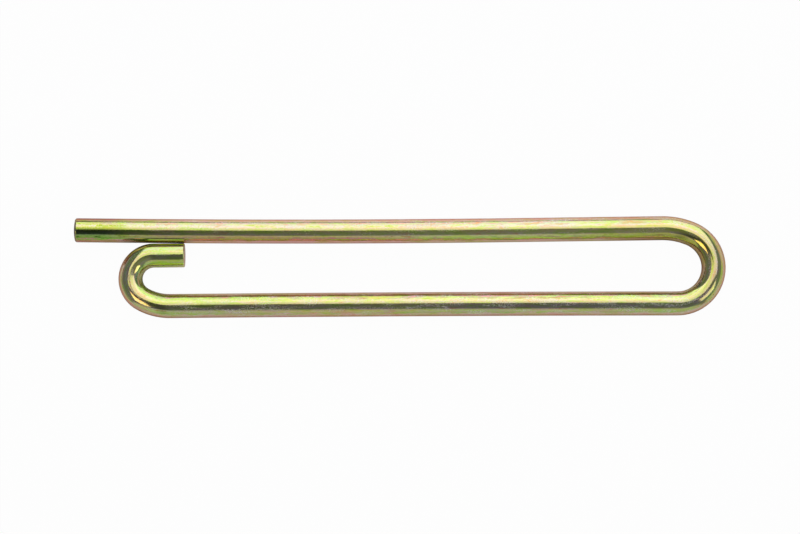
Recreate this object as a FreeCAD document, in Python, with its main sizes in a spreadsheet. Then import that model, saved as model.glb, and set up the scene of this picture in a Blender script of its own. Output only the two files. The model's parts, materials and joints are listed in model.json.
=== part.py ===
# Retaining pin: one length of round wire, bent in a single plane.
#
# A long shank goes through the drilled hole. At its far end the wire turns back through a wide
# bend, and the springy leg that comes back ends in a small hook, whose tip rests on the shank.
#
# Frame: millimetres, +Z up. The pin lies flat on Z = 0 with the shank along X, its free end
# towards -X and the hook on its -Y side. The origin is the middle of the footprint.

import FreeCAD, Part
import math
import os

import Sketcher
from FreeCAD import Vector

NODE = "retaining_pin"

# Every driving dimension: alias, value, and what it measures.
SIZES = (
    ("wire_diameter", 5.0, "diameter of the round wire"),
    ("free_straight", 12.0, "straight stretch of the shank behind its free end"),
    ("shank_bow_length", 78.6, "length of the shank's slight bow"),
    ("shank_bow_turn", 1.3, "degrees that the bow turns, away from the hook"),
    ("shank_front", 31.6, "straight stretch of the shank before the bend"),
    ("bend_lead_radius", 15.0, "centreline radius where the shank runs into the bend"),
    ("bend_lead_turn", 24.0, "degrees of that wider part of the bend"),
    ("bend_turn", 156.7, "degrees of the round part of the bend"),
    ("leg_length", 105.3, "length of the springy leg, from the bend to the hook"),
    ("leg_bow_turn", 0.5, "degrees that the leg bows"),
    ("hook_lead_radius", 11.5, "centreline radius where the leg runs into the hook"),
    ("hook_lead_turn", 30.0, "degrees of that wider part of the hook"),
    ("hook_radius", 4.83, "centreline radius of the round part of the hook"),
    ("hook_turn", 150.0, "degrees of the round part of the hook"),
    ("tip_straight", 6.4, "straight end of the hook, along the shank"),
    ("tip_clearance", 0.05, "gap between the hook's tip and the shank it rests on"),
    ("nose_dome_radius", 10.0, "radius of the slightly domed free end"),
    ("nose_corner_radius", 0.45, "radius of the rolled-over edge of the free end"),
    ("tip_edge_break", 0.15, "chamfer round the sheared face of the hook's tip"),
)

LEFT = 1
RIGHT = -1

# How a sketch refers to an element's points, to its own origin and to its horizontal axis.
START_POINT, END_POINT, CENTRE_POINT = range(1, 4)
ORIGIN_POINT = (-1, START_POINT)
X_AXIS = -1


def make_sheet(doc):
    """Put the driving dimensions in a spreadsheet, one alias each."""
    sheet = doc.addObject("Spreadsheet::Sheet", "Sizes")
    for row, (alias, value, note) in enumerate(SIZES, start=1):
        sheet.set(f"A{row}", alias)
        sheet.set(f"B{row}", str(value))
        sheet.setAlias(f"B{row}", alias)
        sheet.set(f"C{row}", note)
    doc.recompute()
    return sheet


# The wire's runs, in order from the free end, by the aliases of their sizes. A bow is a very flat
# arc, given by its length. The one arc with no radius is the round part of the bend: it is as
# wide as it has to be for the hook's tip to meet the shank.
RUNS = (
    ("straight", {"length": "free_straight"}),
    ("bow", {"length": "shank_bow_length", "angle": "shank_bow_turn", "side": LEFT}),
    ("straight", {"length": "shank_front"}),
    ("arc", {"radius": "bend_lead_radius", "angle": "bend_lead_turn", "side": RIGHT}),
    ("arc", {"radius": None, "angle": "bend_turn", "side": RIGHT}),
    ("bow", {"length": "leg_length", "angle": "leg_bow_turn", "side": LEFT}),
    ("arc", {"radius": "hook_lead_radius", "angle": "hook_lead_turn", "side": RIGHT}),
    ("arc", {"radius": "hook_radius", "angle": "hook_turn", "side": RIGHT}),
    ("straight", {"length": "tip_straight"}),
)


def walk(sheet, bend_radius):
    """Lay the runs end to end from the origin: a list of (kind, run, geometry) and the end point."""
    point = Vector(0, 0, 0)
    heading = 0.0
    laid = []
    for kind, run in RUNS:
        if kind == "straight":
            length = sheet.get(run["length"])
            end = point + Vector(math.cos(heading), math.sin(heading), 0) * length
            laid.append((kind, run, Part.LineSegment(point, end)))
            point = end
            continue
        turn = math.radians(sheet.get(run["angle"])) * run["side"]
        if kind == "bow":
            radius = sheet.get(run["length"]) / abs(turn)
        elif run["radius"] is None:
            radius = bend_radius
        else:
            radius = sheet.get(run["radius"])
        to_centre = Vector(-math.sin(heading), math.cos(heading), 0) * radius * run["side"]
        centre = point + to_centre
        start_angle = math.atan2(-to_centre.y, -to_centre.x)
        end_angle = start_angle + turn
        first, last = sorted((start_angle, end_angle))
        circle = Part.Circle(centre, Vector(0, 0, 1), radius)
        laid.append((kind, run, Part.ArcOfCircle(circle, first, last)))
        point = centre + Vector(math.cos(end_angle), math.sin(end_angle), 0) * radius
        heading += turn
    return laid, point


def seated_drop(sheet):
    """How far the tip's centreline lies below the shank's when the tip rests on the shank."""
    return sheet.get("wire_diameter") + sheet.get("tip_clearance")


def closing_radius(sheet):
    """The bend radius that seats the tip: the tip's height is linear in that radius."""
    trial = sheet.get("wire_diameter")
    height = walk(sheet, trial)[1].y
    drop = height - walk(sheet, trial + trial)[1].y
    return trial + trial * (height + seated_drop(sheet)) / drop


def origin_plane(body, role):
    """One of the body's own origin planes."""
    for feature in body.Origin.OriginFeatures:
        if feature.Role == role:
            return feature
    raise ValueError(f"no origin feature called {role}")


def new_sketch(body, name, role):
    """An empty sketch on one of the body's origin planes."""
    sketch = body.newObject("Sketcher::SketchObject", name)
    sketch.AttachmentSupport = (origin_plane(body, role), [""])
    sketch.MapMode = "FlatFace"
    return sketch


def constrain(sketch, *definition):
    """Add one constraint."""
    return sketch.addConstraint(Sketcher.Constraint(*definition))


def drive(sketch, name, expression, *definition):
    """Add a dimension, name it and bind it to the sheet."""
    sketch.renameConstraint(constrain(sketch, *definition), name)
    sketch.setExpression(f"Constraints.{name}", expression)


def run_ends(kind, run):
    """Which of a sketch element's points comes first and last along the wire."""
    if kind != "straight" and run["side"] == RIGHT:
        return END_POINT, START_POINT
    return START_POINT, END_POINT


def draw_centreline(body, sheet):
    """The wire's centreline: tangent straights and arcs, closed by the tip's seat on the shank."""
    sketch = new_sketch(body, "Centreline", "XY_Plane")
    laid, tip = walk(sheet, closing_radius(sheet))
    previous = None
    for kind, run, geometry in laid:
        index = sketch.addGeometry(geometry, False)
        first, last = run_ends(kind, run)
        if previous is None:
            constrain(sketch, "Coincident", index, first, *ORIGIN_POINT)
            constrain(sketch, "Horizontal", index)
        else:
            constrain(sketch, "Tangent", *previous, index, first)
        if kind == "straight":
            alias = run["length"]
            drive(sketch, alias, f"Sizes.{alias}", "Distance", index, geometry.length())
        else:
            angle = run["angle"]
            sweep = geometry.LastParameter - geometry.FirstParameter
            drive(sketch, angle, f"Sizes.{angle} * 1 deg", "Angle", index, sweep)
        if kind == "bow":
            length = run["length"]
            expression = f"Sizes.{length} / (Sizes.{angle} * pi / 180)"
            drive(sketch, length, expression, "Radius", index, geometry.Radius)
        elif kind == "arc" and run["radius"]:
            radius = run["radius"]
            drive(sketch, radius, f"Sizes.{radius}", "Radius", index, geometry.Radius)
        previous = (index, last)
    drive(
        sketch,
        "tip_seat",
        "Sizes.wire_diameter + Sizes.tip_clearance",
        "DistanceY",
        *previous,
        *ORIGIN_POINT,
        -tip.y,
    )
    return sketch


def draw_section(body, sheet):
    """The wire's round section, across the free end."""
    sketch = new_sketch(body, "Section", "YZ_Plane")
    diameter = sheet.get("wire_diameter")
    circle = Part.Circle(Vector(0, 0, 0), Vector(0, 0, 1), diameter / 2)
    index = sketch.addGeometry(circle, False)
    constrain(sketch, "Coincident", index, CENTRE_POINT, *ORIGIN_POINT)
    drive(sketch, "wire_diameter", "Sizes.wire_diameter", "Diameter", index, diameter)
    return sketch


def bend_wire(body, centreline, section):
    """Sweep the section along the centreline."""
    wire = body.newObject("PartDesign::AdditivePipe", "BentWire")
    wire.Profile = section
    wire.Spine = centreline
    return wire


def tip_edge(shape, tip):
    """The name of the circular edge round the face of the tip: the one centred nearest to it."""
    circles = [
        (edge.Curve.Center.distanceToPoint(tip), number)
        for number, edge in enumerate(shape.Edges, start=1)
        if isinstance(edge.Curve, Part.Circle)
    ]
    return f"Edge{min(circles)[1]}"


def break_tip_edge(body, base, tip):
    """Take the sharp edge off the sheared face of the tip."""
    chamfer = body.newObject("PartDesign::Chamfer", "TipEdgeBreak")
    chamfer.Base = (base, [tip_edge(base.Shape, tip)])
    chamfer.setExpression("Size", "Sizes.tip_edge_break")


def draw_nose(body, sheet):
    """What the rolled-over free end lacks of a square one: the region outside its outline."""
    sketch = new_sketch(body, "NoseOutline", "XY_Plane")
    wire_radius = sheet.get("wire_diameter") / 2
    dome = sheet.get("nose_dome_radius")
    corner = sheet.get("nose_corner_radius")
    corner_height = wire_radius - corner
    corner_x = dome - math.sqrt((dome - corner) ** 2 - corner_height**2)
    lean = math.asin(corner_height / (dome - corner))
    room = corner

    up = Vector(0, 0, 1)
    pole = Vector(0, 0, 0)
    shoulder = Vector(corner_x, wire_radius, 0)
    dome_circle = Part.Circle(Vector(dome, 0, 0), up, dome)
    corner_circle = Part.Circle(Vector(corner_x, corner_height, 0), up, corner)
    far_top = shoulder + Vector(0, room, 0)
    near_top = Vector(-room, far_top.y, 0)
    near_axis = Vector(-room, 0, 0)
    face = sketch.addGeometry(Part.ArcOfCircle(dome_circle, math.pi - lean, math.pi), False)
    edge = sketch.addGeometry(
        Part.ArcOfCircle(corner_circle, math.pi / 2, math.pi - lean), False
    )
    side = sketch.addGeometry(Part.LineSegment(shoulder, far_top), False)
    top = sketch.addGeometry(Part.LineSegment(far_top, near_top), False)
    front = sketch.addGeometry(Part.LineSegment(near_top, near_axis), False)
    floor = sketch.addGeometry(Part.LineSegment(near_axis, pole), False)

    constrain(sketch, "Coincident", face, END_POINT, *ORIGIN_POINT)
    constrain(sketch, "PointOnObject", face, CENTRE_POINT, X_AXIS)
    constrain(sketch, "Tangent", face, START_POINT, edge, END_POINT)
    constrain(sketch, "Perpendicular", edge, START_POINT, side, START_POINT)
    constrain(sketch, "Coincident", side, END_POINT, top, START_POINT)
    constrain(sketch, "Coincident", top, END_POINT, front, START_POINT)
    constrain(sketch, "Coincident", front, END_POINT, floor, START_POINT)
    constrain(sketch, "Coincident", floor, END_POINT, *ORIGIN_POINT)
    constrain(sketch, "Vertical", side)
    constrain(sketch, "Horizontal", top)
    constrain(sketch, "Vertical", front)
    constrain(sketch, "Horizontal", floor)
    drive(sketch, "dome_radius", "Sizes.nose_dome_radius", "Radius", face, dome)
    drive(sketch, "corner_radius", "Sizes.nose_corner_radius", "Radius", edge, corner)
    drive(
        sketch,
        "shoulder_height",
        "Sizes.wire_diameter / 2",
        "DistanceY",
        *ORIGIN_POINT,
        side,
        START_POINT,
        wire_radius,
    )
    drive(sketch, "side_room", "Sizes.nose_corner_radius", "Distance", side, room)
    drive(sketch, "front_room", "Sizes.nose_corner_radius", "Distance", floor, room)
    return sketch


def round_nose(body, outline):
    """Turn the free end to its domed outline."""
    nose = body.newObject("PartDesign::Groove", "RoundedNose")
    nose.Profile = outline
    nose.ReferenceAxis = (outline, ["H_Axis"])
    nose.Angle = 360


def stand_on_ground(body):
    """Bring the middle of the pin's footprint to the origin."""
    box = body.Shape.optimalBoundingBox(False, False)
    body.Placement.Base = Vector(-box.Center.x, -box.Center.y, -box.ZMin)


def check(doc, body):
    """Stop if a feature failed, or the pin isn't one sound solid."""
    for item in doc.Objects:
        if "Invalid" in item.State or "Error" in item.State:
            raise RuntimeError(f"{item.Label} failed: {item.State}")
    shape = body.Shape
    if shape.isNull() or not shape.isValid() or len(shape.Solids) != 1:
        raise RuntimeError(f"{body.Label} is not one sound solid")


def build():
    doc = FreeCAD.newDocument("RetainingPin")
    sheet = make_sheet(doc)
    body = doc.addObject("PartDesign::Body", "PinBody")
    body.Label = NODE

    centreline = draw_centreline(body, sheet)
    section = draw_section(body, sheet)
    doc.recompute()
    wire = bend_wire(body, centreline, section)
    doc.recompute()
    tip = centreline.Shape.Vertexes[-1].Point
    break_tip_edge(body, wire, tip)
    doc.recompute()
    round_nose(body, draw_nose(body, sheet))
    doc.recompute()
    stand_on_ground(body)
    doc.recompute()
    check(doc, body)

    run_length = centreline.Shape.Length
    swept = math.pi * sheet.get("wire_diameter") ** 2 / 4 * run_length
    box = body.Shape.optimalBoundingBox(False, False)
    print(f"wire length {run_length:.1f} mm, section times length {swept:.1f} mm3")
    print(f"swept volume {wire.Shape.Volume:.1f} mm3, finished {body.Shape.Volume:.1f} mm3")
    print(f"overall {box.XLength:.2f} x {box.YLength:.2f} x {box.ZLength:.2f} mm")
    print(f"free end on the axis at {body.Placement.Base}")

    os.makedirs("parts", exist_ok=True)
    body.Shape.exportStep(f"parts/{body.Label}.step")


build()
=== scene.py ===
# %% [markdown]
# # Retaining pin in yellow-passivated steel wire
#
# A retaining pin holds a shaft, a hitch or a cotter hole closed on farm and yard machinery.
# It is one length of round steel wire. One leg is the shank, whose free end goes through the hole.
# At the far end the wire turns back on itself, runs along the shank, and ends in a hook that grips it.
# The whole piece is then zinc plated and dipped in a yellow passivate.
#
# The lesson goes in the order of the workshop: bend the wire, plate it, then set up the studio.

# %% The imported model, as a fixed frame
import json
import math

import bpy
from mathutils import Matrix, Vector


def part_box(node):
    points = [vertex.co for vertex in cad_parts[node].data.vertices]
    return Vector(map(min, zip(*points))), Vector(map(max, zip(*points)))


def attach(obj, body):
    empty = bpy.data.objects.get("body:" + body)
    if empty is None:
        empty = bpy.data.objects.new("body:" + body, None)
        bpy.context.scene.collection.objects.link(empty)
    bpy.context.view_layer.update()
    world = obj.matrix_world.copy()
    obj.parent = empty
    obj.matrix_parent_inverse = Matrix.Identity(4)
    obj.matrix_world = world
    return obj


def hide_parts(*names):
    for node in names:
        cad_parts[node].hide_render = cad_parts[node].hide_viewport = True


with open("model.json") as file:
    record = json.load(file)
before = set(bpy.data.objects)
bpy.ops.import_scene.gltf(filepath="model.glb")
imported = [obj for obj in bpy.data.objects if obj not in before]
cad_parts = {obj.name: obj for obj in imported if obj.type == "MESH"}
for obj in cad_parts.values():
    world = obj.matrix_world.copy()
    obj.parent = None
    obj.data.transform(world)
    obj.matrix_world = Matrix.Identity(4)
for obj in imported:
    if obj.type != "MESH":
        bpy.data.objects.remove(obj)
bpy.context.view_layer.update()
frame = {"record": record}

pin_low, pin_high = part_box("retaining_pin")
print("CAD box", [round(side * 1000, 2) for side in pin_high - pin_low], "mm")

# %% [markdown]
# ## The centreline
#
# On a bending bench the wire is fed out straight, then pressed round a former, again and again.
# So its centreline is a chain of straight runs and arcs, each starting where the last one ended
# and pointing the same way. Drawing it as a chain keeps every joint smooth, with no kink.
#
# It could be drawn by hand as a Bezier curve. Walking the chain from the maker's own sizes is
# surer, because each arc gets its exact radius, and a new size needs only one number.
#
# One radius isn't typed in. The round part of the return bend is as wide as it has to be for the
# hook's tip to come to rest beside the shank. The tip moves evenly with that radius, so two trial
# walks along the chain are enough to find it.

# %% The bending plan, in millimetres and degrees
MM = 0.001
LEFT, RIGHT = 1, -1
WIRE_RADIUS = 2.5 * MM
TIP_CLEARANCE = 0.01 * MM
BEND_RADIUS = "set by the seat of the tip"


def straight(length):
    return {"length": length * MM, "turn": 0.0}


def bow(length, angle, side):
    """A long run that springs slightly off straight."""
    return {"length": length * MM, "turn": side * math.radians(angle)}


def arc(radius, angle, side):
    """A bend round a former, or round the one radius that closes the pin."""
    return {"radius": radius, "turn": side * math.radians(angle)}


PLAN = (
    straight(12.0),
    bow(78.6, 1.3, LEFT),
    straight(31.6),
    arc(15.0, 24.0, RIGHT),
    arc(BEND_RADIUS, 156.7, RIGHT),
    bow(105.3, 0.5, LEFT),
    arc(11.5, 30.0, RIGHT),
    arc(4.83, 150.0, RIGHT),
    straight(6.4),
)
print(len(PLAN), "runs in the plan")


# %% Walk the plan
def runs(bend_radius):
    """Each run's start, heading, length and turn, and then where the wire ends."""
    found = []
    place = Vector((0.0, 0.0))
    heading = 0.0
    for step in PLAN:
        radius = step.get("radius", 0.0)
        radius = bend_radius if radius == BEND_RADIUS else radius * MM
        length = step.get("length", radius * abs(step["turn"]))
        found.append((place, heading, length, step["turn"]))
        place, heading = after(place, heading, length, step["turn"])
    return found, place


def after(place, heading, length, turn):
    """Place and heading at the end of a run."""
    half = turn / 2
    chord = length if turn == 0 else length * math.sin(half) / half
    way = heading + half
    return place + chord * Vector((math.cos(way), math.sin(way))), heading + turn


seat = -(2 * WIRE_RADIUS + TIP_CLEARANCE)
trial = 2 * WIRE_RADIUS
low, high = (runs(radius)[1].y for radius in (trial, 2 * trial))
bend_radius = trial + trial * (low - seat) / (low - high)
chain, tip = runs(bend_radius)
wire_length = sum(run[2] for run in chain)
print("bend radius", round(bend_radius / MM, 3), "mm, wire", round(wire_length / MM, 1), "mm")

# %% [markdown]
# ## Knots on the centreline
#
# A Bezier span follows an arc closely when it turns no more than 30 degrees and its handles are
# 4/3 tan(angle/4) of the radius long. So each bend is cut into a few equal spans.
# The shank's free end points along -X, and the pin lies flat, so the whole line sits one wire
# radius above the floor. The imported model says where: its box gives the free end's place along X,
# and the mount at its pin end gives the shank's axis.

# %% The centreline as a curve
LARGEST_SPAN = math.radians(30)
STEPS_PER_SPAN = 32


def spans(chain):
    """Knots with their handles: place, way in, way out."""
    knots = [[chain[0][0], chain[0][1], 0.0, 0.0]]
    for place, heading, length, turn in chain:
        pieces = max(1, math.ceil(abs(turn) / LARGEST_SPAN))
        part, angle = length / pieces, turn / pieces
        reach = part / 3 if turn == 0 else part / angle * 4 / 3 * math.tan(angle / 4)
        for _ in range(pieces):
            knots[-1][3] = reach
            place, heading = after(place, heading, part, angle)
            knots.append([place, heading, reach, 0.0])
    return knots


def centreline(name, knots, shift):
    """A Bezier curve through the knots, moved by a shift."""
    line = bpy.data.curves.new(name, "CURVE")
    line.dimensions = "3D"
    line.resolution_u = STEPS_PER_SPAN
    spline = line.splines.new("BEZIER")
    spline.bezier_points.add(len(knots) - 1)
    for point, (place, heading, back, ahead) in zip(spline.bezier_points, knots):
        way = Vector((math.cos(heading), math.sin(heading), 0.0))
        point.co = place.to_3d() + shift
        point.handle_left = point.co - back * way
        point.handle_right = point.co + ahead * way
    holder = bpy.data.objects.new(name, line)
    bpy.context.scene.collection.objects.link(holder)
    return holder


knots = spans(chain)
pin_end = frame["record"]["mounts"][0]
shift = Vector((pin_low.x, pin_end["pos_m"][1], WIRE_RADIUS))
wire_line = centreline("wire_line", knots, shift)
print(len(knots), "knots")

# %% [markdown]
# ## Helpers for node trees
#
# A node tree is easiest to read when each node takes one line: its kind, its settings, and what
# feeds each input in order, whether that is another node's socket or a plain value.


# %% One line for each node
def node(tree, kind, *feeds, **settings):
    """A new node, with its settings and with its inputs fed in order."""
    made = tree.nodes.new(kind)
    for name, value in settings.items():
        setattr(made, name, value)
    sockets = [socket for socket in made.inputs if socket.enabled]
    for socket, feed in zip(sockets, feeds):
        if isinstance(feed, bpy.types.NodeSocket):
            tree.links.new(feed, socket)
        elif feed is not None:
            socket.default_value = feed
    return made


def maths(tree, operation, *feeds, clamp=False):
    """One sum, as a Math node's output."""
    return node(tree, "ShaderNodeMath", *feeds, operation=operation, use_clamp=clamp).outputs[0]


# %% [markdown]
# ## The wire
#
# The wire keeps one round section from end to end. Only its two ends differ. The free end is
# domed and rounded at the edge, so that it finds its hole. The hook's tip is sheared flat and only
# loses its sharp edge.
#
# A bevelled curve would give a plain tube. A Geometry Nodes tree does more for little: it sweeps a
# circle along the line, packs its rings closer together near the ends, where the section changes,
# and lets the section's radius follow the two end shapes. At both ends it shrinks to nothing, and
# points that come to lie together are merged, so the skin is closed. The tree also stores on every
# point where that point lay on the straight wire before bending. Drawing lines and stains then
# follow the wire round each bend, and no seam shows.

# %% The sweep's tree: rings along the line
RINGS = 620
POINTS_ROUND = 88
SIZES = (
    ("Wire radius", WIRE_RADIUS),
    ("Dome radius", 10.0 * MM),
    ("Dome corner", 0.45 * MM),
    ("Tip edge", 0.15 * MM),
)
COUNTS = (("Rings", RINGS), ("Points round", POINTS_ROUND))
print(RINGS, "rings of", POINTS_ROUND, "points")


def sweep_tree(finish):
    """The tree that turns the centreline into the finished wire."""
    tree = bpy.data.node_groups.new("swept_wire", "GeometryNodeTree")
    interface = tree.interface
    interface.new_socket("Geometry", in_out="INPUT", socket_type="NodeSocketGeometry")
    for name, _ in SIZES:
        interface.new_socket(name, in_out="INPUT", socket_type="NodeSocketFloat")
    for name, _ in COUNTS:
        interface.new_socket(name, in_out="INPUT", socket_type="NodeSocketInt")
    interface.new_socket("Geometry", in_out="OUTPUT", socket_type="NodeSocketGeometry")
    given = tree.nodes.new("NodeGroupInput").outputs
    line, total = rings_along(tree, given)
    mesh = swept(tree, given, line, total)
    real = node(tree, "GeometryNodeRealizeInstances", mesh).outputs[0]
    painted = node(tree, "GeometryNodeSetMaterial", real, None, finish).outputs[0]
    tree.links.new(painted, tree.nodes.new("NodeGroupOutput").inputs[0])
    return tree


def rings_along(tree, given):
    """The line with its points moved closer together near both ends, and its length."""
    total = node(tree, "GeometryNodeCurveLength", given["Geometry"]).outputs[0]
    even = node(tree, "GeometryNodeResampleCurve", given["Geometry"], None, given["Rings"])
    share = node(tree, "GeometryNodeSplineParameter").outputs["Factor"]
    wave = maths(tree, "COSINE", maths(tree, "MULTIPLY", share, math.pi))
    eased = maths(tree, "MULTIPLY_ADD", wave, -0.5, 0.5)
    there = node(tree, "GeometryNodeSampleCurve", given["Geometry"], None, eased)
    moved = node(tree, "GeometryNodeSetPosition", even.outputs[0], None, there.outputs["Position"])
    flat = node(tree, "GeometryNodeSetCurveNormal", moved.outputs[0], mode="Z_UP").outputs[0]
    return flat, total


# %% The section along the wire
CLOSED = 0.0005 * MM
SHARP_EDGE = math.radians(25)


def end_shapes(tree, given, along, left):
    """The section's radius as a share of the wire's, from the free end's dome and the tip's edge."""
    wire = given["Wire radius"]
    tip = maths(tree, "ADD", maths(tree, "SUBTRACT", wire, given["Tip edge"]), left)
    tip = maths(tree, "MULTIPLY", tip, maths(tree, "GREATER_THAN", left, CLOSED))
    smaller = maths(tree, "MINIMUM", nose_shape(tree, given, along), tip)
    return maths(tree, "DIVIDE", maths(tree, "MINIMUM", smaller, wire), wire)


def nose_shape(tree, given, along):
    """The free end's radius: a shallow dome, then a rounded corner that runs into the wire."""
    wire, dome, corner = given["Wire radius"], given["Dome radius"], given["Dome corner"]
    inner = maths(tree, "SUBTRACT", wire, corner)
    rise = maths(tree, "SUBTRACT", dome, corner)
    depth = third_side(tree, rise, inner)
    centre = maths(tree, "SUBTRACT", dome, depth)
    reach = maths(tree, "MULTIPLY", maths(tree, "DIVIDE", depth, rise), dome)
    past = maths(tree, "GREATER_THAN", along, maths(tree, "SUBTRACT", dome, reach))
    cap = third_side(tree, dome, maths(tree, "SUBTRACT", dome, along))
    short = maths(tree, "MINIMUM", maths(tree, "SUBTRACT", along, centre), 0.0)
    round_off = maths(tree, "ADD", inner, third_side(tree, corner, short))
    return node(tree, "ShaderNodeMix", past, cap, round_off).outputs[0]


def third_side(tree, longest, other):
    """The third side of a right-angled triangle."""
    longest = maths(tree, "MULTIPLY", longest, longest)
    square = maths(tree, "SUBTRACT", longest, maths(tree, "MULTIPLY", other, other))
    return maths(tree, "SQRT", maths(tree, "MAXIMUM", square, 0.0))


def swept(tree, given, line, total):
    """The closed skin, with each point's place on the straight wire stored as an attribute."""
    share = node(tree, "GeometryNodeSplineParameter").outputs["Factor"]
    along = kept_value(tree, line, maths(tree, "MULTIPLY", share, total))
    left = maths(tree, "SUBTRACT", total, along.outputs[1])
    size = end_shapes(tree, given, along.outputs[1], left)
    circle = node(tree, "GeometryNodeCurvePrimitiveCircle", given["Points round"], given["Wire radius"])
    turn = node(tree, "GeometryNodeSplineParameter").outputs["Factor"]
    round_it = kept_value(tree, circle.outputs[0], turn)
    skin = node(tree, "GeometryNodeCurveToMesh", along.outputs[0], round_it.outputs[0], size, False)
    angle = maths(tree, "MULTIPLY", round_it.outputs[1], 2 * math.pi)
    outward = maths(tree, "MULTIPLY", maths(tree, "MULTIPLY", given["Wire radius"], size), -1.0)
    beside = maths(tree, "MULTIPLY", maths(tree, "COSINE", angle), outward)
    above = maths(tree, "MULTIPLY", maths(tree, "SINE", angle), outward)
    spot = node(tree, "ShaderNodeCombineXYZ", along.outputs[1], beside, above).outputs[0]
    stored = node(tree, "GeometryNodeStoreNamedAttribute", skin.outputs[0], None, "unbent", spot,
                  data_type="FLOAT_VECTOR", domain="POINT")
    closed = node(tree, "GeometryNodeMergeByDistance", stored.outputs[0], None, CLOSED)
    smooth = node(tree, "GeometryNodeSetShadeSmooth", closed.outputs[0], None, True)
    bend = node(tree, "GeometryNodeInputMeshEdgeAngle").outputs["Unsigned Angle"]
    sharp = maths(tree, "GREATER_THAN", bend, SHARP_EDGE)
    crisp = node(tree, "GeometryNodeSetShadeSmooth", smooth.outputs[0], sharp, False, domain="EDGE")
    return crisp.outputs[0]


def kept_value(tree, geometry, value):
    """Keeps a value on each point, so that it is still there after the sweep."""
    made = tree.nodes.new("GeometryNodeCaptureAttribute")
    made.capture_items.new("FLOAT", "Value")
    tree.links.new(geometry, made.inputs[0])
    tree.links.new(value, made.inputs[1])
    return made


# %% [markdown]
# ## The finish
#
# Yellow passivate is a film far thinner than a hair, left on fresh zinc by a dip. Light reflected
# from its two faces interferes, so its colour depends on its thickness and on the slant it is seen
# at: brassy yellow face on, lime or green where it is a little thicker, and pink to copper brown
# where the round side turns away. The film drains unevenly as it dries, so patches differ, the
# wire's two sides differ, and the ends keep the most of it.
#
# A single gold colour would look like brass. Painted patches would look flat, as they would not
# change with the slant. Here the metal's own colour carries the patches, and a tinted coat carries
# what the film's gloss does with slant. Both follow the place stored on the straight wire, so
# streaks run along it and bend with it.
#
# First come small helpers: a colour ramp, noise stretched along the wire, a range held between two
# ends, a blend, and a colour or a value that changes slowly from one end of the wire to the other,
# on the whole wire or on each side by itself.


# %% Ramps and noises on the straight wire
def ramp(tree, factor, *stops):
    """A ramp through the stops, each a position and a colour."""
    made = node(tree, "ShaderNodeValToRGB", factor)
    line = made.color_ramp
    while len(line.elements) < len(stops):
        line.elements.new(0.5)
    for element, (position, colour) in zip(line.elements, stops):
        element.position = position
        element.color = (*colour, 1.0)
    return made.outputs["Color"]


def grain(tree, place, length, width, detail=2.0, shift=0.0):
    """Noise from 0 to 1 in patches of a length along the wire and a width across it."""
    scale = (1 / length, 1 / width, 1 / width)
    held = node(tree, "ShaderNodeMapping", place, (shift, 0.0, 0.0), None, scale).outputs[0]
    return node(tree, "ShaderNodeTexNoise", held, None, 1.0, detail, 0.5).outputs["Fac"]


def between(tree, value, low, high, to_low=0.0, to_high=1.0):
    """A value's range stretched to another range, and held there."""
    return node(tree, "ShaderNodeMapRange", value, low, high, to_low, to_high).outputs[0]


def mixed(tree, factor, first, second, way="MIX"):
    """Two colours blended."""
    made = tree.nodes.new("ShaderNodeMix")
    made.data_type = "RGBA"
    made.blend_type = way
    for socket, feed in zip((made.inputs[0], made.inputs[6], made.inputs[7]), (factor, first, second)):
        if isinstance(feed, bpy.types.NodeSocket):
            tree.links.new(feed, socket)
        else:
            socket.default_value = feed if isinstance(feed, float) else (*feed, 1.0)
    return made.outputs[2]


def blend(tree, factor, first, second):
    """Two values blended."""
    return node(tree, "ShaderNodeMix", factor, first, second).outputs[0]


def tone(tree, along, *stops):
    """A colour that changes slowly along the wire, through stops of a place in mm and a colour."""
    share = between(tree, along, 0.0, wire_length)
    return ramp(tree, share, *((spot * MM / wire_length, colour) for spot, colour in stops))


def drift(tree, along, *stops):
    """A value that changes slowly along the wire, through stops of a place in mm and a value."""
    return tone(tree, along, *((spot, (value,) * 3) for spot, value in stops))


def sided(tree, along, beside, left, right):
    """A value that changes slowly along the wire, with stops of its own on each side."""
    return blend(tree, beside, drift(tree, along, *right), drift(tree, along, *left))


print("the film runs over", round(wire_length / MM), "mm of wire")

# %% [markdown]
# ### Colour, patch by patch
#
# The film's thickness is a mix of broad patches, where it drained, and fine streaks, where drawing
# left faint lines. A slow drift on each side of the wire moves it towards green or towards pale.
# Thickness then picks a colour from the film's own order: green, lime, yellow, pale, blush, orange.
#
# Small specks come on top, each gathered in crowds: blushes, burnt orange dots, and bare spots
# where the film was rubbed off and white zinc shows.
#
# Left and right are those of someone walking along the wire from its free end. Both bends turn to
# the right, so the left side is their outer side. Places along the wire are in millimetres.

# %% The film's colours
GREEN = (0.61, 0.83, 0.22)
LIME = (0.76, 0.86, 0.30)
YELLOW = (0.88, 0.85, 0.37)
PALE = (0.93, 0.85, 0.66)
BLUSH = (0.96, 0.75, 0.72)
WHITE = (0.94, 0.92, 0.90)
ORANGE = (0.94, 0.60, 0.28)
PLAIN = (1.0, 1.0, 1.0)
FILM_ORDER = ((0.0, GREEN), (0.22, LIME), (0.44, YELLOW), (0.66, PALE), (0.84, BLUSH), (1.0, ORANGE))
print(len(FILM_ORDER), "film colours from thin to thick")

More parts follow.
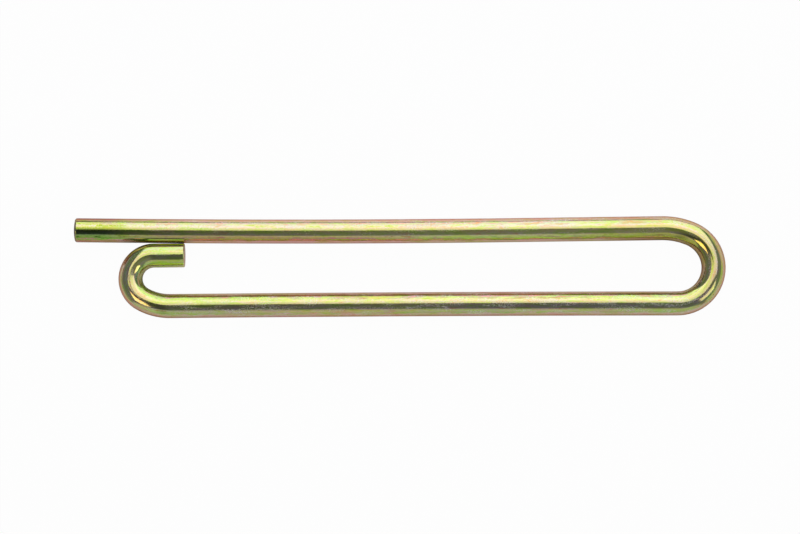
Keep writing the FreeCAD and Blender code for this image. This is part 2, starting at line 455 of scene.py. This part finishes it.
# %% The film's thickness
THIN, THICK = 0.36, 0.64
MIDDLE = 0.5
DRAINED = {"length": 9 * MM, "width": 1.3 * MM}
STREAKS = {"length": 1.5 * MM, "width": 0.24 * MM, "shift": 3.0}
DRAINED_SHARE, STREAK_SHARE = 0.55, 0.45
LEFT_THICKNESS = ((0, 0.44), (10, 0.46), (20, 0.51), (65, 0.52), (75, 0.58), (85, 0.52), (95, 0.58),
                  (105, 0.52), (115, 0.55), (125, 0.49), (137, 0.49), (143, 0.53), (151, 0.49),
                  (225, 0.50), (252, 0.48), (260, 0.58), (267, 0.56), (273, 0.47))
RIGHT_THICKNESS = ((0, 0.45), (10, 0.45), (22, 0.50), (45, 0.52), (80, 0.49), (150, 0.49),
                   (165, 0.51), (175, 0.56), (185, 0.58), (195, 0.55), (208, 0.49), (224, 0.54),
                   (235, 0.45), (252, 0.46), (260, 0.58), (267, 0.56), (273, 0.46))


def film_thickness(tree, place, along, beside):
    """The film's thickness, from drained patches, fine streaks, and a slow drift on each side."""
    drained = maths(tree, "MULTIPLY", grain(tree, place, **DRAINED), DRAINED_SHARE)
    thick = maths(tree, "MULTIPLY_ADD", grain(tree, place, **STREAKS), STREAK_SHARE, drained)
    slow = sided(tree, along, beside, LEFT_THICKNESS, RIGHT_THICKNESS)
    return maths(tree, "ADD", thick, maths(tree, "SUBTRACT", slow, MIDDLE))


print("streaks", round(STREAKS["length"] / STREAKS["width"], 1), "times as long as they are wide")

# %% Specks and bare spots
CROWD = {"length": 14 * MM, "width": 2.2 * MM}
CROWD_SHIFT = 50.0
CROWD_EDGE = (0.58, 0.70)
BLUSHES = {"length": 0.7 * MM, "width": 0.24 * MM, "shift": 5.0, "cover": 0.13, "edge": (0.50, 0.58)}
BURNT = {"length": 0.6 * MM, "width": 0.22 * MM, "shift": 31.0, "cover": 0.06, "edge": (0.54, 0.61)}
RUBBED = {"length": 0.6 * MM, "width": 0.24 * MM, "shift": 7.0, "cover": 0.09, "edge": (0.53, 0.62)}
SCUFFS = {"length": 1.8 * MM, "width": 0.17 * MM, "shift": 61.0, "cover": 0.06, "edge": (0.56, 0.62)}
LEFT_RUBBED = ((0, 0.5), (20, 0.8), (60, 1.0), (120, 1.0), (142, 0.7), (235, 0.6), (260, 0.5))
RIGHT_RUBBED = ((0, 0.25), (110, 0.25), (125, 0.6), (140, 1.0), (235, 1.0), (260, 0.5))
SCUFFED = ((136, 0.0), (148, 1.0), (250, 1.0), (258, 0.2))


def specks(tree, place, length, width, shift, cover, edge):
    """Sparse small spots that gather in some stretches of the wire."""
    spots = between(tree, grain(tree, place, length, width, 1.0, shift), *edge)
    crowd = grain(tree, place, shift=shift + CROWD_SHIFT, **CROWD)
    crowd = between(tree, crowd, *(level - cover for level in CROWD_EDGE))
    return maths(tree, "MULTIPLY", spots, crowd)


def bare_spots(tree, place, along, beside):
    """Where the film is worn off: spots everywhere, and long scuffs on the leg's outer side."""
    rubbed_and_shaded = sided(tree, along, beside, LEFT_RUBBED, RIGHT_RUBBED)
    spots = maths(tree, "MULTIPLY", specks(tree, place, **RUBBED), rubbed_and_shaded)
    outer = maths(tree, "MULTIPLY", drift(tree, along, *SCUFFED), beside)
    scuffs = maths(tree, "MULTIPLY", specks(tree, place, **SCUFFS), outer)
    return maths(tree, "MAXIMUM", spots, scuffs)


finest = min(kind["width"] for kind in (BLUSHES, BURNT, RUBBED, SCUFFS))
print("the finest specks are", round(finest / MM, 2), "mm across")

# %% The film, patch by patch
BRASSY = ((106, PLAIN), (120, (1.0, 0.90, 0.76)), (134, (1.0, 0.90, 0.76)), (146, PLAIN),
          (198, PLAIN), (206, (1.0, 0.95, 0.96)), (216, (1.0, 0.98, 0.92)), (226, PLAIN),
          (256, PLAIN), (264, (1.0, 0.96, 0.95)), (272, (1.0, 1.0, 0.86)))
BLUSH_SHARE, BURNT_SHARE, BARE_SHARE = 0.90, 0.85, 0.90


def film_colour(tree, place, along, thick, bare):
    """The metal's colour under the film, patch by patch."""
    colour = ramp(tree, between(tree, thick, THIN, THICK), *FILM_ORDER)
    colour = mixed(tree, 1.0, colour, tone(tree, along, *BRASSY), "MULTIPLY")
    blushed = specks(tree, place, **BLUSHES)
    burnt = specks(tree, place, **BURNT)
    spots = ((blushed, BLUSH_SHARE, BLUSH), (burnt, BURNT_SHARE, ORANGE), (bare, BARE_SHARE, WHITE))
    for cover, share, tint in spots:
        colour = mixed(tree, maths(tree, "MULTIPLY", cover, share), colour, tint)
    return colour


print(len(BRASSY), "stops of brassier and plainer colour along the wire")

# %% [markdown]
# ### Gloss, by slant
#
# A Layer Weight node tells how far the surface turns away: 0 face on, 1 edge on. Ramps give the
# gloss at each slant, one for each side of the wire. The film's thickness shifts the place on the
# ramp, as a thicker film reaches each colour at another slant.
#
# Four things change the gloss along the wire. Film pools at the shank's free end and at the hook's
# tip, so both have ramps of their own. Slow stains tint each side. The outer side is darker near face
# on from the return bend to the hook. And the inside of each bend, like the shank's flank where the
# tip lies against it, gets painted shade: a darker gloss where shade falls.

# %% The film's gloss
FACE_ON = ((0.0, (0.86, 0.90, 0.42)), (0.03, (0.93, 0.94, 0.62)))
LEFT_FILM = (*FACE_ON, (0.07, (0.96, 0.95, 0.82)), (0.12, (0.98, 1.00, 0.98)),
             (0.18, (0.86, 0.97, 0.82)), (0.24, (0.78, 0.90, 0.66)), (0.31, (0.88, 0.86, 0.74)),
             (0.40, (0.97, 0.88, 0.86)), (0.50, (0.98, 0.82, 0.84)), (0.64, (0.98, 0.80, 0.78)),
             (1.0, (0.80, 0.61, 0.58)))
RIGHT_FILM = (*FACE_ON, (0.07, (0.94, 0.97, 0.64)), (0.12, (0.95, 1.00, 0.76)),
              (0.17, (0.78, 1.00, 0.48)), (0.24, (0.62, 0.80, 0.44)), (0.31, (0.70, 0.66, 0.52)),
              (0.38, (0.90, 0.68, 0.80)), (0.50, (0.98, 0.84, 0.86)), (0.64, (0.98, 0.90, 0.90)),
              (1.0, (0.80, 0.65, 0.62)))
LEFT_POOL = ((0.0, (0.58, 0.64, 0.04)), (0.03, (0.78, 0.86, 0.08)), (0.07, (0.92, 0.98, 0.54)),
             (0.13, (0.94, 1.00, 0.90)), (0.23, (0.70, 0.74, 0.52)), (0.31, (0.76, 0.70, 0.58)),
             (0.39, (0.87, 0.67, 0.71)), (0.64, (0.86, 0.58, 0.62)), (1.0, (0.72, 0.52, 0.50)))
RIGHT_POOL = ((0.0, (0.19, 0.22, 0.18)), (0.05, (0.34, 0.54, 0.32)), (0.10, (0.52, 0.84, 0.42)),
              (0.16, (0.48, 0.84, 0.34)), (0.24, (0.66, 0.80, 0.46)), (0.31, (0.74, 0.62, 0.54)),
              (0.39, (0.92, 0.60, 0.74)), (0.64, (0.96, 0.78, 0.88)), (1.0, (0.72, 0.54, 0.52)))
TIP_FILM = ((0.0, (0.88, 0.93, 0.62)), (0.05, (0.92, 0.98, 0.58)), (0.12, (0.88, 0.98, 0.56)),
            (0.24, (0.80, 0.94, 0.92)), (0.36, (0.92, 0.98, 1.0)), (0.50, (1.0, 1.0, 1.0)),
            (0.64, (1.0, 0.98, 0.98)), (1.0, (0.92, 0.84, 0.80)))
NOSE_POOL = ((0, 1.0), (7, 1.0), (11, 0.3), (24, 0.0))
TIP_POOL = ((266, 0.0), (274, 1.0))


def side_film(tree, along, beside, shifted):
    """The gloss at each slant: one ramp for each side, with others at the pooled ends."""
    wire = mixed(tree, beside, ramp(tree, shifted, *RIGHT_FILM), ramp(tree, shifted, *LEFT_FILM))
    nose = mixed(tree, beside, ramp(tree, shifted, *RIGHT_POOL), ramp(tree, shifted, *LEFT_POOL))
    film = mixed(tree, drift(tree, along, *NOSE_POOL), wire, nose)
    return mixed(tree, drift(tree, along, *TIP_POOL), film, ramp(tree, shifted, *TIP_FILM))


print(len(LEFT_FILM), "slants on the left side's ramp,", len(RIGHT_FILM), "on the right side's")

# %% Stains along the wire
LEFT_STAIN = ((0, (1.0, 0.96, 0.94)), (14, PLAIN), (70, (0.99, 0.97, 0.98)),
              (104, (0.96, 0.99, 0.94)), (116, (0.86, 1.0, 0.80)), (136, (0.94, 1.0, 0.86)),
              (143, (0.82, 1.0, 0.62)), (155, (0.86, 0.97, 0.80)), (166, (0.93, 0.90, 0.94)),
              (176, (0.99, 0.97, 1.0)), (188, (0.84, 0.95, 0.84)), (208, (0.90, 0.92, 0.80)),
              (220, (1.0, 0.93, 0.78)), (234, (1.0, 0.88, 1.0)), (246, (0.92, 0.97, 0.92)),
              (256, (0.84, 1.0, 0.70)), (264, (0.90, 1.0, 0.82)))
RIGHT_STAIN = ((0, (0.96, 1.0, 0.84)), (12, (1.0, 1.0, 0.96)), (25, (1.0, 0.72, 0.88)),
               (45, (1.0, 0.72, 0.90)), (65, (1.0, 0.76, 1.0)), (75, (0.96, 0.98, 0.94)),
               (85, (0.84, 1.0, 0.82)), (95, (0.92, 1.0, 0.92)), (105, (0.84, 0.92, 0.84)),
               (116, (0.72, 0.82, 0.56)), (128, (0.70, 0.78, 0.54)), (142, PLAIN),
               (160, (0.92, 0.94, 0.88)), (180, PLAIN), (208, (1.0, 0.93, 1.0)),
               (236, (1.0, 1.0, 0.90)), (254, (0.92, 1.0, 0.88)), (261, (0.80, 0.96, 0.72)),
               (266, (0.70, 1.0, 0.70)), (274, (0.90, 1.0, 0.84)))
STAIN_RISE = (0.05, 0.11)
STAIN_FALL = (0.26, 0.42)
STAIN_LEFT_OVER = 0.25


def stained(tree, along, beside, facing, tint):
    """The gloss with its slow stains, strongest between face on and edge on."""
    stain = mixed(tree, beside, tone(tree, along, *RIGHT_STAIN), tone(tree, along, *LEFT_STAIN))
    whole = mixed(tree, 1.0, tint, stain, "MULTIPLY")
    rise = between(tree, facing, *STAIN_RISE)
    fall = between(tree, facing, *STAIN_FALL, 1.0, STAIN_LEFT_OVER)
    return mixed(tree, maths(tree, "MULTIPLY", rise, fall), tint, whole)


print(len(LEFT_STAIN), "stains on the left side,", len(RIGHT_STAIN), "on the right")

# %% Darker places
# The outer side's gloss is darker near face on, from the return bend to the hook.
OUTER_DARKER = ((126, 0.0), (142, 1.0), (178, 1.0), (205, 0.5), (240, 0.6), (256, 0.0))
OUTER_DARKER_SLANT = (0.08, 0.15)
OUTER_DARKER_TINT = (0.58, 0.54, 0.50)
# Painted shade: the gloss is darker on the inside of each bend, where shade falls.
BEND_SHADE = ((108, 0.0), (118, 1.0), (138, 1.0), (148, 0.0), (254, 0.0), (261, 1.0), (265, 1.0),
                (270, 0.1))
BEND_SHADE_SLANT = (0.16, 0.36)
BEND_SHADE_TINTS = ((148, (0.72, 0.62, 0.56)), (254, (0.64, 0.74, 0.52)))
# Painted shade: the gloss is darker on the shank's flank beside the hook's tip, where shade falls.
SEAT = ((9, 0.0), (13, 1.0), (22, 1.0), (25, 0.0))
SEAT_EDGE, SEAT_DEPTH = 0.55 * WIRE_RADIUS, 0.80 * WIRE_RADIUS
SEAT_LEFT_OVER = 0.2
SEAT_SHADE_TINT = (0.54, 0.60, 0.66)


def darkened(tree, along, beside, facing, tint):
    """The gloss made darker on the outer side near face on, and with painted shade inside each bend."""
    outer_darker = between(tree, facing, *OUTER_DARKER_SLANT, 1.0, 0.0)
    outer_darker = maths(tree, "MULTIPLY", drift(tree, along, *OUTER_DARKER), outer_darker)
    tint = mixed(tree, maths(tree, "MULTIPLY", outer_darker, beside), tint, OUTER_DARKER_TINT)
    # Painted shade on the inside of each bend.
    inside = between(tree, facing, *BEND_SHADE_SLANT)
    inside = maths(tree, "MULTIPLY", drift(tree, along, *BEND_SHADE), inside)
    inside = maths(tree, "MULTIPLY", inside, maths(tree, "SUBTRACT", 1.0, beside))
    return mixed(tree, inside, tint, tone(tree, along, *BEND_SHADE_TINTS))


def seat_shade(tree, along, across, tint):
    """Painted shade: the gloss made darker on the shank's flank, where the tip lies against it."""
    flank = between(tree, across, -SEAT_EDGE, -SEAT_DEPTH)
    under = between(tree, across, -SEAT_DEPTH, -WIRE_RADIUS, 1.0, SEAT_LEFT_OVER)
    flank = maths(tree, "MULTIPLY", flank, under)
    # Painted shade where the tip lies against the shank.
    rubbed_and_shaded = drift(tree, along, *SEAT)
    return mixed(tree, maths(tree, "MULTIPLY", rubbed_and_shaded, flank), tint, SEAT_SHADE_TINT)


# The seat's darker gloss is painted shade.
print("the seat is rubbed from", SEAT[0][0], "to", SEAT[-1][0], "mm along the wire")

# %% The whole gloss
LEFT_SHIFT = ((0, 0.50), (80, 0.50), (130, 0.52), (160, 0.54), (185, 0.53), (215, 0.50))
RIGHT_SHIFT = ((0, 0.50), (20, 0.53), (30, 0.54), (70, 0.55), (90, 0.49), (125, 0.49), (150, 0.50),
               (240, 0.51))
LARGEST_SHIFT = 0.17
SHIFT_BY_SLANT = ((0.0, 0.0), (0.05, 0.05), (0.13, 0.9), (0.26, 1.0), (0.40, 0.4))


def slant_tint(tree, thick, spot, beside):
    """The tint of the gloss, by slant, side and place along the wire."""
    along = spot["X"]
    facing = node(tree, "ShaderNodeLayerWeight", 0.5).outputs["Facing"]
    slow = maths(tree, "SUBTRACT", sided(tree, along, beside, LEFT_SHIFT, RIGHT_SHIFT), MIDDLE)
    shift = between(tree, thick, THIN, THICK, -LARGEST_SHIFT, LARGEST_SHIFT)
    shift = maths(tree, "ADD", shift, slow)
    held = ramp(tree, facing, *((slant, (share,) * 3) for slant, share in SHIFT_BY_SLANT))
    shifted = maths(tree, "MULTIPLY_ADD", shift, held, facing, clamp=True)
    tint = side_film(tree, along, beside, shifted)
    tint = stained(tree, along, beside, facing, tint)
    tint = darkened(tree, along, beside, facing, tint)
    return seat_shade(tree, along, spot["Y"], tint)


print("thickness shifts the slant by up to", LARGEST_SHIFT)

# %% [markdown]
# ### Cut ends, and the whole material
#
# Both ends were cut after drawing. The free end was cropped and then rounded, which left it dull
# and sooty. The tip's face was sheared and took the film, so it only looks rougher and a shade
# browner.
#
# The drawn surface also keeps faint lines along it and fine pits, together about three thousandths
# of a millimetre deep. They go in as a bump, as cutting them would need millions of faces.

# %% The cut ends
NOSE_EDGE = (0.35 * MM, 0.75 * MM)
NOSE_GREY = (0.34, 0.33, 0.27)
SOOT = {"length": 0.5 * MM, "width": 0.5 * MM, "shift": 41.0}
SOOT_EDGE = (0.4, 0.6)
SOOT_RANGE = (0.35, 1.3)
TIP_FACE_EDGE = (wire_length - 0.06 * MM, wire_length - 0.02 * MM)
TIP_FACE_COLOUR = (0.92, 0.80, 0.68)
CUT_TINT = (0.98, 0.90, 0.80)
CUT_ROUGH = 0.38


def cut_masks(tree, along):
    """The nose, and the tip's flat face."""
    nose = between(tree, along, *NOSE_EDGE, 1.0, 0.0)
    face = between(tree, along, *TIP_FACE_EDGE)
    return nose, face


def cut_colour(tree, place, nose, face, colour):
    """The metal's colour, sooty on the nose and plain on the tip's face."""
    soot = between(tree, grain(tree, place, **SOOT), *SOOT_EDGE, *SOOT_RANGE)
    colour = mixed(tree, nose, colour, mixed(tree, 1.0, NOSE_GREY, soot, "MULTIPLY"))
    return mixed(tree, face, colour, TIP_FACE_COLOUR)


print("the nose is sooty over its last", round(NOSE_EDGE[1] / MM, 2), "mm")

# %% How rough the surface is
ROUGH_STREAKS = {"length": 2.0 * MM, "width": 0.25 * MM, "detail": 3.0, "shift": 11.0}
STREAK_EDGE = (0.3, 0.7)
ROUGHNESS = (0.11, 0.22)
WORKED = ((0, 0.5), (14, 0.65), (30, 0.95), (108, 0.95), (120, 0.5), (185, 0.65), (220, 0.85),
          (248, 0.8), (260, 0.5))
BARE_ROUGH = 0.40
DRAWN_LINES = {"length": 14 * MM, "width": 0.12 * MM, "shift": 17.0}
PITS = {"length": 0.5 * MM, "width": 0.35 * MM, "shift": 23.0}
LINE_SHARE = 0.5
BUMP_DEPTH = 0.003 * MM


def roughness(tree, place, along, bare):
    """Streaks of smoother and rougher zinc, smoother at the ends and bends, rough where bare."""
    rough = between(tree, grain(tree, place, **ROUGH_STREAKS), *STREAK_EDGE, *ROUGHNESS)
    rough = maths(tree, "MULTIPLY", rough, drift(tree, along, *WORKED))
    return maths(tree, "ADD", rough, maths(tree, "MULTIPLY", bare, BARE_ROUGH))


def fine_skin(tree, place):
    """Drawing lines and pits, as a bump."""
    lines = grain(tree, place, **DRAWN_LINES)
    height = maths(tree, "MULTIPLY_ADD", lines, LINE_SHARE, grain(tree, place, **PITS))
    return node(tree, "ShaderNodeBump", 1.0, BUMP_DEPTH, None, height).outputs[0]


print("bump", round(BUMP_DEPTH / MM, 4), "mm deep")

# %% Zinc and film together
SIDE_BLEND = 0.2 * WIRE_RADIUS
RIM_TINT = (0.95, 0.78, 0.80, 1.0)
COAT = (("Coat Weight", 1.0), ("Coat IOR", 1.05), ("Coat Roughness", 0.1))


def yellow_zinc():
    """Zinc plate under a yellow passivate film, on drawn wire."""
    made = bpy.data.materials.new("yellow_passivate")
    made.use_nodes = True
    tree = made.node_tree
    metal = tree.nodes["Principled BSDF"]
    place = node(tree, "ShaderNodeAttribute", attribute_name="unbent").outputs["Vector"]
    spot = node(tree, "ShaderNodeSeparateXYZ", place).outputs
    along = spot["X"]
    beside = between(tree, spot["Y"], -SIDE_BLEND, SIDE_BLEND)
    thick = film_thickness(tree, place, along, beside)
    bare = bare_spots(tree, place, along, beside)
    nose, face = cut_masks(tree, along)
    cut = maths(tree, "MAXIMUM", nose, face)
    colour = cut_colour(tree, place, nose, face, film_colour(tree, place, along, thick, bare))
    tint = mixed(tree, bare, slant_tint(tree, thick, spot, beside), PLAIN)
    tint = mixed(tree, cut, tint, CUT_TINT)
    rough = blend(tree, cut, roughness(tree, place, along, bare), CUT_ROUGH)
    for name, value in (("Metallic", 1.0), ("Specular Tint", RIM_TINT), *COAT):
        metal.inputs[name].default_value = value
    skin = fine_skin(tree, place)
    feeds = {"Base Color": colour, "Coat Tint": tint, "Roughness": rough, "Normal": skin}
    for name, feed in feeds.items():
        tree.links.new(feed, metal.inputs[name])
    return made


finish = yellow_zinc()
print(finish.name, "has", len(finish.node_tree.nodes), "nodes")

# %% [markdown]
# ## The finished wire
#
# The sweep's modifier gets its inputs by socket identifier, and then its result is kept as a plain
# mesh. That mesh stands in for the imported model's wire and rides on its one body.

# %% Sweep the wire
tree = sweep_tree(finish)
sweep = wire_line.modifiers.new("sweep", "NODES")
sweep.node_group = tree
for item in tree.interface.items_tree:
    value = dict(SIZES + COUNTS).get(item.name)
    if value is not None:
        sweep[item.identifier] = value
graph = bpy.context.evaluated_depsgraph_get()
mesh = bpy.data.meshes.new_from_object(wire_line.evaluated_get(graph), depsgraph=graph)
mesh.name = "retaining_pin_wire"
bpy.data.objects.remove(wire_line)
wire = bpy.data.objects.new("retaining_pin_wire", mesh)
bpy.context.scene.collection.objects.link(wire)

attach(wire, "root")
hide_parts("retaining_pin")
print(len(mesh.vertices), "points,", len(mesh.polygons), "faces")

# %% [markdown]
# ## The studio
#
# A shiny round wire shows little of itself and much of the room. Each band along it is the picture
# of something: the bright band is a large window above and behind, the dark band is the room in
# front, the paler band under it is a card, and the brown rims are the table.
#
# The table is white where it is seen straight on. Mirrored in the wire it is much dimmer, and its
# glow there is painted light and shade, set by place: brightest beyond the pin, dim inside the loop,
# and darkest beside the bends and in front. The shadow itself stays, since only the light that the
# table sends out differs between the two.

# %% The table
TABLE_HALF = 3.0
TABLE_SEEN = 0.97
TABLE_PAINT = (0.9, 0.9, 0.9, 1.0)
TABLE_GLOW = (*PLAIN, 1.0)
# Painted light and shade in the mirrored table: more glow beyond the pin, less in its loop and at its
# bends.
BEYOND_EDGE = (9 * MM, 18 * MM)
BEYOND_LIFT = 0.36
LOOP_EDGE = (40 * MM, 52 * MM)
LOOP_LIFT, BEND_LIFT = 0.14, 0.02
FRONT_EDGE = (-14 * MM, -9 * MM)


def seen_white(tree, path):
    """Whether the white background is seen straight on or through glass."""
    return maths(tree, "MAXIMUM", path["Is Camera Ray"], path["Is Transmission Ray"])


def mirrored_table(tree):
    """How much of its white the table shows in a mirror, painted as light and shade: beyond the pin, in
    its loop, at its bends.
    """
    spot = node(tree, "ShaderNodeTexCoord").outputs["Object"]
    spot = node(tree, "ShaderNodeSeparateXYZ", spot).outputs
    beyond = between(tree, spot["Y"], *BEYOND_EDGE, 0.0, BEYOND_LIFT)
    loop = between(tree, maths(tree, "ABSOLUTE", spot["X"]), *LOOP_EDGE, LOOP_LIFT, BEND_LIFT)
    loop = maths(tree, "MULTIPLY", loop, between(tree, spot["Y"], *FRONT_EDGE))
    return maths(tree, "ADD", loop, beyond)


def table_paint():
    """White paint that glows where it is seen, and glows less where it is mirrored."""
    made = bpy.data.materials.new("white_table")
    made.use_nodes = True
    tree = made.node_tree
    tree.nodes.clear()
    path = node(tree, "ShaderNodeLightPath").outputs
    seen = maths(tree, "MULTIPLY", seen_white(tree, path), TABLE_SEEN)
    mirrored = maths(tree, "MULTIPLY", path["Is Glossy Ray"], mirrored_table(tree))
    matt = node(tree, "ShaderNodeBsdfDiffuse", TABLE_PAINT).outputs[0]
    glow = node(tree, "ShaderNodeEmission", TABLE_GLOW, 1.0).outputs[0]
    lift = maths(tree, "ADD", seen, mirrored)
    both = node(tree, "ShaderNodeMixShader", lift, matt, glow).outputs[0]
    tree.links.new(both, tree.nodes.new("ShaderNodeOutputMaterial").inputs[0])
    return made


floor_mesh = bpy.data.meshes.new("floor")
corners = [(x * TABLE_HALF, y * TABLE_HALF, 0.0) for x, y in ((-1, -1), (1, -1), (1, 1), (-1, 1))]
floor_mesh.from_pydata(corners, [], [(0, 1, 2, 3)])
floor_mesh.materials.append(table_paint())
floor = bpy.data.objects.new("floor", floor_mesh)
bpy.context.scene.collection.objects.link(floor)
print("table", 2 * TABLE_HALF, "m across")

# %% [markdown]
# ### The room
#
# The room is dim and a little blue, darkest just left of overhead and paler to the right. A pale
# card stands low in front. Its left part is dimmer and reaches higher, and its far left end is pale
# again, which only the bends mirror. A low pale wall closes each end of the room, so that the wire
# isn't black when looked at along its legs. Seen straight on, past the table's edge, the background
# is plain white.
#
# All of it is drawn by the direction that a mirrored ray leaves in: X to the right, Y away from
# the near side and Z up, each from -1 to 1.

# %% The room
ROOM_HALF = 0.5
ROOM = ((0.0, 0.16), (0.30, 0.05), (0.385, 0.055), (0.43, 0.11), (0.50, 0.16), (0.62, 0.21))
ROOM_COLOUR = (0.86, 0.98, 1.30)
CARD_EDGE = (-0.80, -0.72)
CARD_STEP, CARD_STEP_EDGE = 0.07, (-0.12, -0.06)
CARD_LEVELS, CARD_LEVEL_EDGE = (0.34, 0.50), (-0.14, -0.02)
CARD_END_LEVELS, CARD_END_EDGE = (0.54, 0.34), (-0.32, -0.18)
WALL_EDGE, WALL_TOP = (0.66, 0.76), (0.36, 0.26)
LEFT_WALL, RIGHT_WALL = 0.25, 0.56


def front_card(tree, way):
    """Where the pale card is mirrored, and how pale it is there."""
    step = between(tree, way["X"], *CARD_STEP_EDGE, CARD_STEP, 0.0)
    card = between(tree, maths(tree, "SUBTRACT", way["Y"], step), *CARD_EDGE, 1.0, 0.0)
    level = between(tree, way["X"], *CARD_LEVEL_EDGE, *CARD_LEVELS)
    end_level = between(tree, way["X"], *CARD_END_EDGE, *CARD_END_LEVELS)
    return card, maths(tree, "MAXIMUM", level, end_level)


def end_walls(tree, way):
    """Where the room's low end walls are mirrored, and how pale they are there."""
    wall = between(tree, maths(tree, "ABSOLUTE", way["X"]), *WALL_EDGE)
    wall = maths(tree, "MULTIPLY", wall, between(tree, way["Z"], *WALL_TOP))
    return wall, between(tree, way["X"], -WALL_EDGE[0], WALL_EDGE[0], LEFT_WALL, RIGHT_WALL)


def studio_room():
    """The world: the dim room where it is mirrored, and plain white where it is seen."""
    made = bpy.data.worlds.new("studio")
    made.use_nodes = True
    tree = made.node_tree
    tree.nodes.clear()
    seen = seen_white(tree, node(tree, "ShaderNodeLightPath").outputs)
    way = node(tree, "ShaderNodeTexCoord").outputs["Generated"]
    way = node(tree, "ShaderNodeSeparateXYZ", way).outputs
    card, card_level = front_card(tree, way)
    wall, wall_level = end_walls(tree, way)
    across = between(tree, way["X"], -ROOM_HALF, ROOM_HALF)
    level = ramp(tree, across, *((place, (light,) * 3) for place, light in ROOM))
    level = blend(tree, wall, level, wall_level)
    level = blend(tree, card, level, card_level)
    pale = maths(tree, "MAXIMUM", card, wall)
    shade = mixed(tree, seen, mixed(tree, pale, ROOM_COLOUR, PLAIN), PLAIN)
    light = node(tree, "ShaderNodeBackground", shade, blend(tree, seen, level, 1.0)).outputs[0]
    tree.links.new(light, tree.nodes.new("ShaderNodeOutputWorld").inputs[0])
    return made


bpy.context.scene.world = studio_room()
print("room light from", min(level for _, level in ROOM), "to", max(level for _, level in ROOM))

# %% [markdown]
# ### The lamps
#
# The window is an area lamp close behind the pin. Its upper part is a little brighter than its
# lower edge, so a second lamp of the same width lies over that part. A short strip carries the
# window's edge lower on the left, where only the bends mirror it. Two tinted lamps in front, one
# on each side, only show as short glints in the bends.
#
# Lamps are set by the light that one patch of them sends out, not by their total power, so that a
# lamp can change its size and stay as bright in the mirror.


# %% The lamps
NEAR = 0.54
AMBER = (1.0, 0.80, 0.36)
LIME_WHITE = (0.90, 0.94, 0.52)


def lamp(name, size, radiance, towards, heading=0.0, distance=NEAR, colour=PLAIN):
    """An area lamp that hangs towards a point of the sky dome, seen from above, and faces the pin."""
    data = bpy.data.lights.new(name, "AREA")
    data.shape = "RECTANGLE"
    data.size, data.size_y = size
    data.energy = radiance * math.pi * size[0] * size[1]
    data.color = colour
    made = bpy.data.objects.new(name, data)
    bpy.context.scene.collection.objects.link(made)
    x, y = towards
    way = Vector((x, y, math.sqrt(1 - x * x - y * y)))
    turn = math.radians(heading)
    along = Vector((math.cos(turn), math.sin(turn), 0.0))
    along = (along - along.dot(way) * way).normalized()
    made.matrix_world = Matrix((along, way.cross(along), way)).transposed().to_4x4()
    made.location = way * distance
    made.visible_camera = False
    print(name, [round(side, 2) for side in size], "m at", distance, "m")


lamp("window", (0.75, 0.88), 0.86, (0.14, 0.677))
lamp("window_core", (0.75, 0.60), 0.20, (0.10, 0.799))
lamp("window_sill", (1.35, 0.52), 0.66, (-0.275, 0.036), distance=5.0)
lamp("left_lamp", (1.8, 2.55), 1.5, (-0.44, -0.41), 173, 6.0, AMBER)
lamp("right_lamp", (0.72, 0.80), 1.4, (0.60, -0.31), 33, 2.0, LIME_WHITE)

# %% [markdown]
# ### The camera
#
# The camera looks down from above, leaning a few degrees towards the near side and turned a little
# on its axis. A long lens keeps the wire's two ends alike in size. Its distance follows from the
# width that the frame has to hold.

# %% The camera
LENS = 120
SENSOR = 36
FIELD = 166.15 * MM
TILT = math.radians(5.5)
ROLL = math.radians(0.547)
AIM = Vector((0.09 * MM, 0.0, WIRE_RADIUS))

distance = FIELD * LENS / SENSOR
camera_data = bpy.data.cameras.new("camera")
camera_data.lens = LENS
camera_data.sensor_width = SENSOR
camera = bpy.data.objects.new("camera", camera_data)
bpy.context.scene.collection.objects.link(camera)
side = Vector((1.0, 0.0, 0.0))
back = Vector((0.0, -math.sin(TILT), math.cos(TILT)))
pose = Matrix((side, back.cross(side), back)).transposed().to_4x4()
camera.matrix_world = pose @ Matrix.Rotation(ROLL, 4, "Z")
camera.location = AIM + back * distance
bpy.context.scene.camera = camera
bpy.context.scene.view_settings.view_transform = "Standard"
print("camera", round(distance, 3), "m away")

# %% [markdown]
# ## Finish

# %% Finish
print("scene finished")
